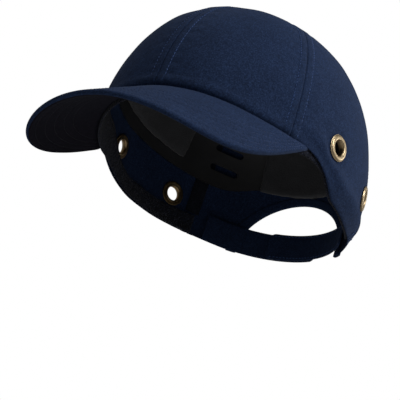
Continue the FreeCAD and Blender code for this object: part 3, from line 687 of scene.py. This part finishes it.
def snap_to_arch(theta, station, points):
    """Moves grid points near the rear opening's edge onto it, so that the cut is clean."""
    height = np.maximum(points[..., 2] - ARCH_SPRING, 0.0)
    distance = np.hypot(points[..., 0], height)
    close = (np.abs(distance - ARCH_RADIUS) < 1.6) & (points[..., 1] > 60.0)
    scale = ARCH_RADIUS / np.maximum(distance, 1.0)
    across = points[..., 0] * scale
    up = np.where(height > 0, ARCH_SPRING + height * scale, points[..., 2])
    new_station = np.where(close, station_at_height(up), station)
    climb = np.radians(np.maximum(new_station, 0.0))
    share = np.clip(across / (HALF_WIDTH * np.cos(climb) ** CROWN_POWER), -1, 1)
    return np.where(close, np.degrees(np.arccos(share)), theta), new_station


def build_panel(side, name):
    first, last = PANELS[name]
    theta, station, from_first, to_last, along, above_rim = panel_grid(side, first, last)
    if name == "rear_panel":
        theta, station = snap_to_arch(theta, station, crown(theta, station))
    base = crown(theta, station)
    relief = cloth_relief(base, from_first, to_last, along, above_rim, theta)
    eyelet = near_eyelets(base)
    pressed = 1.0 - ease((eyelet - EYELET_FLANGE) / 7.0)
    relief = relief * (1.0 - pressed) - 0.35 * pressed + 0.25 * np.exp(-((eyelet - 14.0) / 3.0) ** 2)
    outer = crown(theta, station, -relief)
    inner = crown(theta, station, FABRIC)
    rows, columns = theta.shape
    flat_base, flat_eyelet = base.reshape(-1, 3), eyelet.ravel()
    keep = []
    for face in grid_faces(rows, columns):
        corners = list(face)
        if flat_eyelet[corners].mean() > EYELET_BORE + 2.0 and outside_arch(flat_base[corners].mean(0)):
            keep.append(face if side == "left" else face[::-1])
    uvs = np.stack([from_first, along], -1).reshape(-1, 2)
    piece = thick_sheet(f"cloth_{name}_{side}", outer.reshape(-1, 3), inner.reshape(-1, 3), keep,
                        MATERIALS["navy"], uvs=uvs)
    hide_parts(f"{name}_{side}")


for side in SIDES:
    for name in PANELS:
        build_panel(side, name)


def seam_row(theta_seam, offset, low, high):
    """Path and normals of a topstitch row beside a seam, between two heights along the cloth."""
    along = np.linspace(low, high, 160)
    station = station_at_length(along)
    across = np.linalg.norm(crown(theta_seam + 0.5, station) - crown(theta_seam - 0.5, station), axis=-1)
    theta = theta_seam + offset / across
    height = WELT * 0.55 - 0.05
    return crown(theta, station, -height), crown_normal(theta, station)


SEAMS = {
    "front": -90.0,
    "front_left": SEAM_FRONT,
    "front_right": 180.0 - SEAM_FRONT,
    "rear_left": SEAM_REAR,
    "rear_right": 180.0 - SEAM_REAR,
    "rear": 90.0,
}
for label, theta_seam in SEAMS.items():
    start = ARCH_SPRING + ARCH_RADIUS + 6.5 if label == "rear" else rim_height(np.array(theta_seam)) + 1.5
    low = float(cloth_length(station_at_height(start)))
    high = float(cloth_length(station_at_reach(11.5)))
    rows = [seam_row(theta_seam, offset, low, high) for offset in (-STITCH_OFFSET, STITCH_OFFSET)]
    stitches(f"topstitch_{label}", rows)


# ------------------------------------------------------------------ seam tapes

def build_tape(label, theta_seam):
    """Narrow woven tape over the seam's inside, a little slack."""
    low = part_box(f"seam_tape_{label}")[0]
    start = float(cloth_length(station_at_height(low.z * 1000.0)))
    stop = float(cloth_length(station_at_reach(15.0)))
    along = np.linspace(start, stop, 70)
    station = station_at_length(along)
    side_step = unit(crown(theta_seam + 0.5, station) - crown(theta_seam - 0.5, station))[:, None, :]
    across = np.linspace(-6.0, 6.0, 9)
    slack = 0.12 * np.sin(along[:, None] / 9.0 + across / 4.0) + 0.12 * (np.abs(across) / 6.0) ** 4
    grids = []
    for depth in (1.62, 2.1):
        middle = crown(theta_seam, station[:, None], depth + slack * (depth > 2))
        grids.append((middle + across[None, :, None] * side_step).reshape(-1, 3))
    uvs = np.stack(np.broadcast_arrays(across[None, :], along[:, None]), -1).reshape(-1, 2)
    piece = thick_sheet(f"woven_tape_{label}", grids[1], grids[0], grid_faces(70, 9), MATERIALS["tape"],
                        uvs=uvs)
    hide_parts(f"seam_tape_{label}")


for label, theta_seam in SEAMS.items():
    build_tape(label, theta_seam)


# ------------------------------------------------------------------ brim

BRIM_ROWS = (7.0, 15.5, 24.0, 32.5, 41.0)    # topstitch rows, distance from the edge
BRIM_COLUMNS = 201
QUILT = 0.22
BRIM_WAVE = 0.22          # how far the brim's cloth lifts in soft waves


def brim_wave(points):
    return BRIM_WAVE * ripple(points, 33.0, 5)[..., None] * BRIM_UP


def quilting(inset):
    """Height of the brim's cloth between its stitch rows."""
    nearest = np.min([np.abs(inset - row) for row in BRIM_ROWS], axis=0)
    return QUILT * ease(nearest / 2.6) - QUILT * 0.5


def brim_sheet(name, path, wall, material, node):
    """Cover that follows the brim: path is (inset from the edge, lift) round the edge, from the root."""
    share = np.linspace(-1, 1, BRIM_COLUMNS)
    share = np.sign(share) * (1 - (1 - np.abs(share)) ** 1.25)
    root_arc, root_reach, edge_arc, edge_reach = brim_column(share)
    length = np.hypot(edge_arc - root_arc, edge_reach - root_reach)
    flat_shares = np.linspace(0, 1, 75)
    sign = np.sign(path[0][1])
    layers = []
    for thin in (0.0, wall):
        inset = [length * (1 - s) + path[0][0] * s for s in flat_shares]
        lift = [np.full(BRIM_COLUMNS, path[0][1] - sign * thin) for _ in flat_shares]
        crease = [0.7 * np.exp(-((length - i) / 3.0) ** 2) for i in inset]
        lift = [l - sign * c + (sign * quilting(i) if thin == 0.0 else 0.0)
                for l, c, i in zip(lift, crease, inset)]
        for step_inset, step_lift in path[1:]:
            inward = np.hypot(step_inset - BRIM_THICK, step_lift)
            shrink = 1.0 - thin / max(inward, 0.1)
            inset.append(np.full(BRIM_COLUMNS, BRIM_THICK + (step_inset - BRIM_THICK) * shrink))
            lift.append(np.full(BRIM_COLUMNS, step_lift * shrink))
        inset = np.minimum(np.array(inset), length)
        lift = np.array(lift)
        along = 1.0 - inset / np.maximum(length, 1e-6)
        arc = root_arc + (edge_arc - root_arc) * along
        reach = root_reach + (edge_reach - root_reach) * along
        ends = ease(length / 6.0)
        layers.append((brim(arc, reach, lift * (0.35 + 0.65 * ends)), arc, reach))
    rows = layers[0][0].shape[0]
    wave = brim_wave(layers[0][0]) * ease(length / 20.0)[None, :, None]
    outer = (layers[0][0] + wave).reshape(-1, 3)
    inner = (layers[1][0] + wave).reshape(-1, 3)
    faces = grid_faces(rows, BRIM_COLUMNS)
    if sign > 0:
        faces = flipped(faces)
    uvs = np.stack([layers[0][1], layers[0][2]], -1).reshape(-1, 2)
    piece = thick_sheet(name, outer, inner, faces, material, uvs=uvs)
    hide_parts(node)


def edge_path(first, last, steps, radius=BRIM_THICK):
    """Insets and lifts round the brim's edge between two angles, 90 on top and -90 below."""
    turns = np.radians(np.linspace(first, last, steps))
    return [(BRIM_THICK - radius * math.cos(t), radius * math.sin(t)) for t in turns]


brim_sheet("brim_cloth_top", edge_path(90, -52, 11), 0.8, MATERIALS["brim"], "brim_top_cover")
brim_sheet("brim_cloth_underside", [(BRIM_THICK, -BRIM_THICK), (1.5, -1.82), (1.2, -1.45)], 0.6,
           MATERIALS["underside"], "brim_bottom_cover")
brim_sheet("brim_stiffener", [(2.4, 1.0), (2.1, 0.6), (2.0, 0.0), (2.1, -0.6), (2.4, -1.0)], 0.9,
           MATERIALS["board"], "brim_board")


def brim_stitch_row(inset, face):
    """Path and normals of a row at a distance from the brim's edge, on the top (1) or below (-1)."""
    share = np.linspace(-1, 1, 600)
    root_arc, root_reach, edge_arc, edge_reach = brim_column(share)
    length = np.hypot(edge_arc - root_arc, edge_reach - root_reach)
    keep = length > inset + 3.0
    along = 1.0 - inset / length[keep]
    arc = root_arc[keep] + (edge_arc - root_arc)[keep] * along
    reach = root_reach[keep] + (edge_reach - root_reach)[keep] * along
    path = brim(arc, reach, face * (BRIM_THICK - QUILT * 0.5))
    normals = face * unit(brim(arc, reach, 1.0) - brim(arc, reach, 0.0))
    return path + brim_wave(path), normals


# Below the brim the stitches use the darker thread: painted shade on a copy of the brim's thread.
for label, face, thread in (("top", 1, "brim_thread"), ("underside", -1, "dark_thread")):
    rows = [brim_stitch_row(inset, face) for inset in BRIM_ROWS]
    stitches(f"brim_topstitch_{label}", rows, thread)


# ------------------------------------------------------------------ sweatband

def brow_weight(theta):
    return ease((-folded(theta) - 8.0) / 16.0)


def build_sweatband():
    """Folded towelling band: rounded lower fold, puffed face and a stitched top edge."""
    theta = np.linspace(40.0, -220.0, 420)
    low = rim_height(theta) + 0.5 - 6.0 * brow_weight(theta)
    height = 16.0 + 11.0 * brow_weight(theta)
    section = []
    for turn in np.linspace(0, 2 * math.pi, 40, endpoint=False):
        rise = 0.5 - 0.5 * math.copysign(abs(math.cos(turn)) ** 0.55, math.cos(turn))
        depth = 3.6 + 1.15 * math.copysign(abs(math.sin(turn)) ** 0.5, math.sin(turn))
        section.append((rise, depth))
    rings = []
    for rise, depth in section:
        dent = 0.45 * math.exp(-((rise - 0.86) / 0.05) ** 2) if depth > 3.6 else 0.0
        station = station_at_height(low + height * rise)
        base = crown(theta, station, depth)
        soft = 0.3 * ripple(base, 14.0, 7) if depth > 3.6 else 0.0
        rings.append(crown(theta, station, depth - dent + np.minimum(soft, 0.25)))
    vertices = np.array(rings).transpose(1, 0, 2)
    count = len(section)
    faces = flipped(swept_faces(len(theta), count))
    piece = make_piece("towelling_sweatband", vertices.reshape(-1, 3), faces, MATERIALS["terry"])
    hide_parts("sweatband")
    row_station = station_at_height(low + height * 0.86)
    path = crown(theta, row_station, 4.42)
    inward = unit(crown(theta, row_station, 4.0) - crown(theta, row_station, 0.0))
    stitches("sweatband_topstitch", [(path, inward)], "dark_thread")


build_sweatband()


# ------------------------------------------------------------------ foam pads

PAD_SWELL = 0.9           # the furthest that a point of a pad may move


def puffed_copy(node_name, name):
    """Soft copy of a CAD pad: remeshed, blown up a little by cloth pressure, kept off the shell."""
    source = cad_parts[node_name]
    mesh = source.data.copy()
    piece = bpy.data.objects.new(name, mesh)
    bpy.context.scene.collection.objects.link(piece)
    remesh = piece.modifiers.new("remesh", "REMESH")
    remesh.mode = "VOXEL"
    remesh.voxel_size = 0.0022
    apply_modifiers(piece)
    start = read_vertices(piece)
    cloth = piece.modifiers.new("cloth", "CLOTH")
    cloth.settings.use_pressure = True
    cloth.settings.uniform_pressure_force = 4.0
    cloth.settings.effector_weights.gravity = 0.0
    cloth.settings.mass = 0.1
    for step in range(1, 13):
        bpy.context.scene.frame_set(step)
    apply_modifiers(piece)
    bpy.context.scene.frame_set(1)
    moved = read_vertices(piece) - start
    outward = unit(start * [1, 1, 0.6] + [0, 0, -0.01])
    push = (moved * outward).sum(-1, keepdims=True)
    moved = moved - outward * np.maximum(push, 0.0)
    size = np.linalg.norm(moved, axis=-1, keepdims=True)
    moved = moved * np.minimum(1.0, PAD_SWELL * 0.001 / np.maximum(size, 1e-9))
    piece.data.vertices.foreach_set("co", (start + moved).ravel())
    smooth = piece.modifiers.new("smooth", "SMOOTH")
    smooth.factor, smooth.iterations = 0.5, 3
    subdivide = piece.modifiers.new("subdivide", "SUBSURF")
    subdivide.levels = subdivide.render_levels = 1
    apply_modifiers(piece)
    piece.data.materials.clear()
    piece.data.materials.append(MATERIALS["foam"])
    piece.data.polygons.foreach_set("use_smooth", [True] * len(piece.data.polygons))
    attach(piece, BODY)
    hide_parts(node_name)


def apply_modifiers(piece):
    """Bakes the modifiers into the mesh."""
    bpy.context.view_layer.update()
    graph = bpy.context.evaluated_depsgraph_get()
    baked = bpy.data.meshes.new_from_object(piece.evaluated_get(graph))
    piece.modifiers.clear()
    piece.data = baked


def read_vertices(piece):
    values = np.zeros(len(piece.data.vertices) * 3)
    piece.data.vertices.foreach_get("co", values)
    return values.reshape(-1, 3)


for position in ("front", "rear", "left", "right", "top"):
    puffed_copy(f"foam_pad_{position}", f"soft_pad_{position}")


# ------------------------------------------------------------------ rear opening binding

def arch_on_crown(distance, grow):
    """Angle and station on the crown at a distance along the opening's edge, grown outward."""
    radius = ARCH_RADIUS + grow
    leg = ARCH_SPRING
    if distance < leg:
        across, height = radius, distance
    elif distance > leg + math.pi * ARCH_RADIUS:
        across, height = -radius, 2 * leg + math.pi * ARCH_RADIUS - distance
    else:
        turn = (distance - leg) / ARCH_RADIUS
        across, height = radius * math.cos(turn), leg + radius * math.sin(turn)
    station = float(station_at_height(height))
    reach = HALF_WIDTH * math.cos(math.radians(max(station, 0.0))) ** CROWN_POWER
    return math.degrees(math.acos(max(-1.0, min(1.0, across / reach)))), station


def build_binding():
    """Folded tape round the rear opening's edge, with a stitch row on its outer face."""
    total = 2 * ARCH_SPRING + math.pi * ARCH_RADIUS
    # across the tape: (distance back from the edge, depth below the cloth's face)
    section = [(6.0, -0.15), (5.7, -0.75), (4.6, -0.9), (4.0, -0.8), (3.0, -0.92), (1.0, -0.9),
               (-0.3, -0.65), (-0.9, 0.1), (-1.0, 0.7), (-0.8, 1.4), (-0.2, 1.95), (1.0, 2.15),
               (4.5, 2.15), (5.7, 2.0), (6.0, 1.45), (5.0, 1.35), (0.15, 1.32), (0.05, 0.65),
               (0.15, -0.02), (5.0, -0.05)]
    distances = np.linspace(0.0, total, 170)
    vertices, uvs = [], []
    for distance in distances:
        for index, (back, depth) in enumerate(section):
            theta, station = arch_on_crown(distance, back)
            vertices.append(crown(theta, station, depth))
            uvs.append((index * 1.3, distance))
    count = len(section)
    faces = flipped(swept_faces(len(distances), count))
    piece = make_piece("folded_binding", np.array(vertices), faces, MATERIALS["navy"], uvs=np.array(uvs))
    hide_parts("rear_binding")
    places = [arch_on_crown(d, 4.0) for d in np.linspace(1.0, total - 1.0, 300)]
    path = np.array([crown(t, s, -0.78) for t, s in places])
    normals = np.array([crown_normal(t, s) for t, s in places])
    stitches("binding_topstitch", [(path, normals)])


build_binding()


# ------------------------------------------------------------------ eyelets

def arc(centre, radius, first, last, steps):
    turns = np.radians(np.linspace(first, last, steps))
    return [(centre[0] + radius * math.cos(t), centre[1] + radius * math.sin(t)) for t in turns]


GROMMET = (
    [(EYELET_BORE, -3.1), (EYELET_BORE, 0.2)]
    + arc((6.9, 0.3), 1.2, 180, 90, 8)
    + arc((7.9, -0.4), 1.9, 88, 20, 8)
    + arc((9.45, 0.22), 0.35, 40, -90, 6)
    + [(8.8, 0.1), (6.6, 0.06), (6.3, -0.2), (6.3, -2.6)]
    + arc((7.15, -2.88), 0.25, 90, -90, 6)
    + [(6.3, -3.12)]
)
WASHER = arc((6.75, -2.25), 0.35, 180, 90, 4) + arc((9.3, -2.3), 0.4, 90, -90, 7) + [(6.4, -2.66)]
for (side, position), seat in EYELET_SEATS.items():
    grommet = lathe(f"brass_grommet_{side}_{position}", GROMMET, MATERIALS["brass"], seat, segments=64)
    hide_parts(f"eyelet_{side}_{position}")
    washer = lathe(f"brass_washer_{side}_{position}", WASHER, MATERIALS["brass"], seat, segments=64)
    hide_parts(f"eyelet_washer_{side}_{position}")


# ------------------------------------------------------------------ top button

def build_button():
    """Cloth-covered button with faint gathers towards its edge."""
    seat = np.eye(4)
    seat[2, 3] = CROWN_HEIGHT
    top = arc((0.0, -7.2), 11.2, 90, 47, 14)
    profile = [(max(r, 0.02), z) for r, z in top] + [(8.3, 0.7), (8.5, 0.35), (8.2, 0.12), (7.7, 0.15),
                                                     (7.6, 0.8), (5.5, 2.2), (0.02, 3.2)]
    piece = lathe("covered_button", profile, MATERIALS["navy"], seat, segments=96)
    points = read_vertices(piece) * 1000.0
    turn = np.arctan2(points[:, 1], points[:, 0])
    out = np.hypot(points[:, 0], points[:, 1])
    gather = 0.12 * np.sin(turn * 24) * ease((out - 4.0) / 3.5)
    points[:, 2] += gather * (points[:, 2] > CROWN_HEIGHT + 0.5)
    piece.data.vertices.foreach_set("co", (points * 0.001).ravel())
    write_uvs(piece.data, points[:, :2])
    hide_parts("top_button_cover")


build_button()


# ------------------------------------------------------------------ rear strap

STRAP_CENTRE = np.array([0.0, 37.6, 0.0])


def strap_point(angle, radius, height):
    """Point on the strap's arc: angle off the back, positive towards the wearer's right."""
    turn = np.radians(angle)
    offset = np.broadcast_arrays(-radius * np.sin(turn), radius * np.cos(turn), height)
    return STRAP_CENTRE + np.stack(offset, -1)


def build_strap(name, node, material, arc_range, radii, heights, body, round_end=None):
    """Bent strip with softly rounded edges, its free end's corners cut round."""
    middle, half = sum(radii) / 2.0, (radii[0] - radii[1]) / 2.0
    low, high = heights
    steps = 90
    angles = np.linspace(*arc_range, steps)
    section = []
    for turn in np.linspace(0, 2 * math.pi, 32, endpoint=False):
        z = math.copysign(abs(math.cos(turn)) ** 0.12, math.cos(turn))
        r = math.copysign(abs(math.sin(turn)) ** 0.5, math.sin(turn))
        section.append((z, r))
    vertices, uvs = [], []
    for angle in angles:
        run = abs(angle - round_end) * math.radians(middle) if round_end is not None else 99.0
        corner = 5.0
        trim = corner - math.sqrt(max(corner ** 2 - max(corner - run, 0.0) ** 2, 0.0))
        for z, r in section:
            height = (low + high) / 2.0 + ((high - low) / 2.0 - trim) * z
            wave = 0.1 * math.sin(angle * 0.9) * (1 - z * z)
            vertices.append(strap_point(angle, middle + (half + 0.02) * r + wave, height))
            uvs.append((height, angle * 1.35))
    count = len(section)
    faces = swept_faces(steps, count)
    piece = make_piece(name, np.array(vertices), faces, material, body, np.array(uvs))
    if node:
        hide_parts(node)
    return piece


def strap_rows(name, arc_range, radius, heights, body, facing=1.0):
    """Stitch rows along a strap's face."""
    angles = np.linspace(*arc_range, 120)
    rows = []
    for height in heights:
        path = strap_point(angles, radius, height)
        normals = facing * unit(strap_point(angles, 1.0, 0.0) - STRAP_CENTRE)
        rows.append((path, normals))
    stitches(name, rows, "thread", body)


STRAP_HEIGHTS = (-1.0, 21.0)
PATCH_HEIGHTS = (1.0, 19.0)
HOOK_RADII = (77.3, 76.0)
HOOK_PATCH_RADII = (75.95, 75.4)
LOOP_PATCH_RADII = (75.05, 74.5)
LOOP_RADII = (74.45, 73.15)
build_strap("sewn_strap_end", "strap_base", MATERIALS["strap"], (31.3, 56.0),
            HOOK_RADII, STRAP_HEIGHTS, "strap_anchor")
build_strap("hook_strap_webbing", "hook_strap", MATERIALS["strap"], (-18.0, 31.2),
            HOOK_RADII, STRAP_HEIGHTS, "strap_tab", round_end=-18.0)
build_strap("hook_tape_patch", "hook_patch", MATERIALS["hooks"], (-16.0, 12.0),
            HOOK_PATCH_RADII, PATCH_HEIGHTS, "strap_tab")
build_strap("loop_strap_webbing", "loop_strap", MATERIALS["strap"], (-56.0, 16.0),
            LOOP_RADII, STRAP_HEIGHTS, BODY, round_end=16.0)
build_strap("loop_tape_patch", "loop_patch", MATERIALS["loops"], (-26.0, 14.0),
            LOOP_PATCH_RADII, PATCH_HEIGHTS, BODY)
FOLD_RADII = (77.75, 77.35)
fold = build_strap("strap_fold", None, MATERIALS["strap"], (28.2, 33.6), FOLD_RADII,
                   (0.0, 20.0), None)
tuple(strap_point(31.9, 77.5, 10.0) * 0.001)
tuple(strap_point(30.3, 77.5, 10.0) * 0.001)
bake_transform(fold)
strap_rows("hook_strap_topstitch", (-17.0, 30.6), 77.28, (0.8, 19.2), "strap_tab")
strap_rows("strap_end_topstitch", (31.8, 55.0), 77.28, (0.8, 19.2), "strap_anchor")
strap_rows("loop_strap_topstitch", (-55.0, 15.0), 73.17, (0.8, 19.2), BODY, facing=-1.0)


# ------------------------------------------------------------------ carried-over CAD pieces

def paint(node_name, material):
    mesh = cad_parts[node_name].data
    mesh.materials.clear()
    mesh.materials.append(material)


paint("impact_shell", MATERIALS["shell"])
paint("top_button_core", MATERIALS["steel"])
paint("top_button_washer", MATERIALS["steel"])


# ------------------------------------------------------------------ stage, light and camera

def build_floor(height=-1.6, half=9.0):
    """Pale matt floor, far enough below for a camera that looks up at the cap."""
    mesh = bpy.data.meshes.new("studio_floor")
    corners = [(-half, -half, height), (half, -half, height), (half, half, height), (-half, half, height)]
    mesh.from_pydata(corners, [], [(0, 1, 2, 3)])
    material, tree, principled = shader("pale_floor", roughness=0.9)
    principled.inputs["Base Color"].default_value = (0.8, 0.8, 0.8, 1.0)
    principled.inputs["Emission Color"].default_value = (1, 1, 1, 1)
    seen = add(tree, "ShaderNodeLightPath").outputs["Is Camera Ray"]
    glow = add(tree, "ShaderNodeMath", i0=seen, i1=0.6)
    glow.operation = "MULTIPLY"
    tree.links.new(glow.outputs[0], principled.inputs["Emission Strength"])
    mesh.materials.append(material)
    floor = bpy.data.objects.new("studio_floor", mesh)
    bpy.context.scene.collection.objects.link(floor)


def aim(obj, target, up=Vector((0, 0, 1))):
    """Points an object's -Z at the target."""
    back = (obj.location - target).normalized()
    right = up.cross(back).normalized()
    rotation = Matrix((right, back.cross(right), back)).transposed()
    obj.matrix_world = Matrix.LocRotScale(obj.location, rotation, None)


def soft_light(name, location, size, power, color=(1, 1, 1)):
    data = bpy.data.lights.new(name, "AREA")
    data.shape = "DISK"
    data.size = size
    data.energy = power
    data.color = color
    light = bpy.data.objects.new(name, data)
    bpy.context.scene.collection.objects.link(light)
    light.location = Vector(location)
    aim(light, Vector((0, 0, 0.06)))


def build_world(ambient=0.16):
    """White backdrop for the camera, and a dimmer even light for the object."""
    world = bpy.data.worlds.new("studio")
    world.use_nodes = True
    tree = world.node_tree
    background = tree.nodes["Background"]
    background.inputs["Color"].default_value = (1, 1, 1, 1)
    seen = add(tree, "ShaderNodeLightPath").outputs["Is Camera Ray"]
    strength = add(tree, "ShaderNodeMapRange", Value=seen, To_Min=ambient, To_Max=1.0)
    tree.links.new(strength.outputs["Result"], background.inputs["Strength"])
    bpy.context.scene.world = world


# The camera stands in front of the cap, on the wearer's left and below it, and is rolled.
CAMERA_AZIMUTH, CAMERA_ELEVATION, CAMERA_ROLL = 36.22, -26.26, 17.9
CAMERA_DISTANCE = 1.3
CAMERA_TARGET = Vector((0, 0, 0.06))
CAMERA_LENS = 155.0
FRAMING = (-0.0339, -0.0600)     # the middle of the frame, off the target, right and up


def build_camera():
    turn, rise, roll = (math.radians(a) for a in (CAMERA_AZIMUTH, CAMERA_ELEVATION, CAMERA_ROLL))
    back = Vector((math.sin(turn) * math.cos(rise), -math.cos(turn) * math.cos(rise), math.sin(rise)))
    right = Vector((math.cos(turn), math.sin(turn), 0))
    up = back.cross(right)
    rolled_right = right * math.cos(roll) + up * math.sin(roll)
    rolled_up = up * math.cos(roll) - right * math.sin(roll)
    data = bpy.data.cameras.new("camera")
    data.lens = CAMERA_LENS
    camera = bpy.data.objects.new("camera", data)
    bpy.context.scene.collection.objects.link(camera)
    camera.location = CAMERA_TARGET + back * CAMERA_DISTANCE
    aim(camera, CAMERA_TARGET + rolled_right * FRAMING[0] + rolled_up * FRAMING[1], rolled_up)
    bpy.context.scene.camera = camera


bpy.context.scene.view_settings.view_transform = "Standard"
build_floor()
build_world()
soft_light("key", (1.7, -0.1, 0.9), 0.9, 18.0)
soft_light("top", (0.6, -0.9, 1.7), 1.2, 8.0)
soft_light("rim", (0.9, 1.5, 0.6), 0.9, 6.5)
build_camera()
